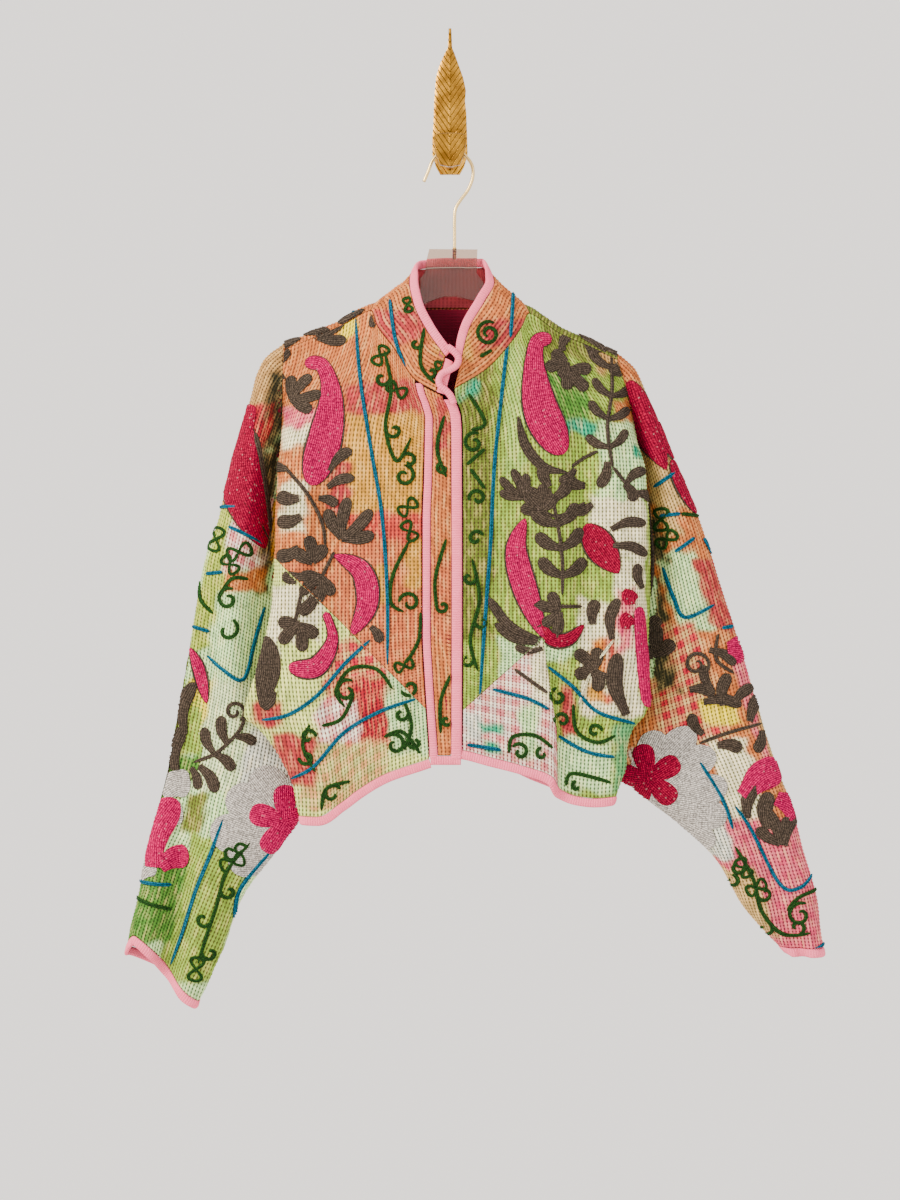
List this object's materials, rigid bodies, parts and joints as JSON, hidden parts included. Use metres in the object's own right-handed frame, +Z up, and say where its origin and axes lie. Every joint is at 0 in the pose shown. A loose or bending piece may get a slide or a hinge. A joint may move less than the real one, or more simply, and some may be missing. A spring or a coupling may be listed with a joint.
{
  "type": "quilted jacket on a hanger and wall hook",
  "caption": "Short wide-sleeved quilted patchwork jacket with a stand collar and bound edges, hung on a clear hanger from a leaf-shaped wall hook.",
  "frame": {"origin": "on the wall face behind the wall hook, midway between its two screws", "axes": "+X to the viewer's right, +Y into the wall, +Z up"},
  "size_m": [0.778, 0.1071, 1.0967],
  "materials": {
    "quilted_cotton": "hand-quilted patchwork cotton with wool chain stitch",
    "quilted_green": "hand-quilted green cotton with wool chain stitch",
    "quilted_crimson": "hand-quilted crimson cotton",
    "pink_binding": "folded plain cotton binding",
    "clear_acrylic": "polished clear acrylic",
    "gold_wire": "polished gold-coloured wire",
    "cast_brass": "cast and brushed brass"
  },
  "bodies": {
    "root": {"back": "quilted_crimson", "binding_collar": "pink_binding", "binding_collar_end": "pink_binding", "binding_cuff_left": "pink_binding", "binding_cuff_right": "pink_binding", "binding_front_edge": "pink_binding", "binding_hem_back": "pink_binding", "binding_hem_left": "pink_binding", "binding_hem_placket": "pink_binding", "binding_hem_right": "pink_binding", "closure_loop": "pink_binding", "collar": "quilted_cotton", "front_left": "quilted_green", "front_right": "quilted_cotton", "hanger_hook": "gold_wire", "hanger_plate": "clear_acrylic", "hook_socket": "gold_wire", "lower_panel_left": "quilted_cotton", "lower_panel_right": "quilted_cotton", "placket_band": "quilted_cotton", "placket_strip": "pink_binding", "screw_1": "cast_brass", "screw_2": "cast_brass", "sleeve_left": "quilted_cotton", "sleeve_right": "quilted_cotton", "wall_hook": "cast_brass"}
  },
  "joints": []
}
